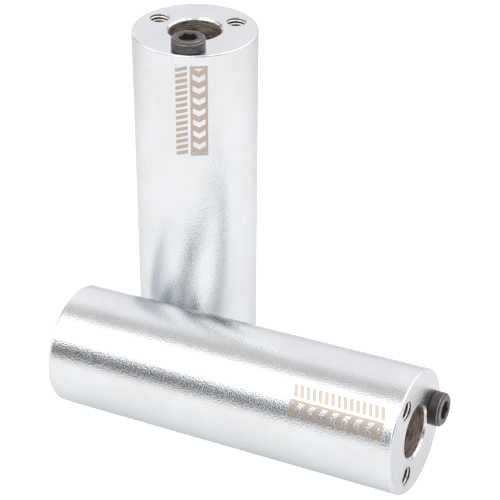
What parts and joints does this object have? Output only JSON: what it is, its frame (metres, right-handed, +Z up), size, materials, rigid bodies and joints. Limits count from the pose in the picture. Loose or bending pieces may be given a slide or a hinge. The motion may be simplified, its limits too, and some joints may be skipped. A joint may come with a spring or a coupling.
{
  "type": "pair of BMX axle pegs",
  "caption": "Pair of BMX axle pegs: turned steel tubes with a bored and tapped end wall and an anti-roll bolt each, one standing and one lying.",
  "frame": {"origin": "middle of the pair's box, at the surface both pegs rest on", "axes": "+Z up along the standing peg; +X along the lying peg towards its dropout face; the standing peg is on the +Y side"},
  "size_m": [0.1137, 0.0728, 0.1135],
  "materials": {
    "satin_plating": "bead-blasted satin nickel-chrome plating on steel, bright machined edges",
    "black_oxide": "black oxide on steel, dull"
  },
  "bodies": {
    "standing_peg": {"standing_peg": "satin_plating"},
    "standing_bolt": {"standing_anti_roll_bolt": "black_oxide"},
    "lying_peg": {"lying_peg": "satin_plating"},
    "lying_bolt": {"lying_anti_roll_bolt": "black_oxide"}
  },
  "joints": [
    {"name": "lying_peg_lift", "type": "slide", "parent": "standing_peg", "child": "lying_peg", "axis": [0, -0.2588, 0.9659], "range_m": [0, 0.13]},
    {"name": "standing_bolt_unscrew", "type": "slide", "parent": "standing_peg", "child": "standing_bolt", "axis": [0, 0, 1], "range_m": [0, 0.012]},
    {"name": "lying_bolt_unscrew", "type": "slide", "parent": "lying_peg", "child": "lying_bolt", "axis": [1, 0, 0.0064], "range_m": [0, 0.012]}
  ]
}
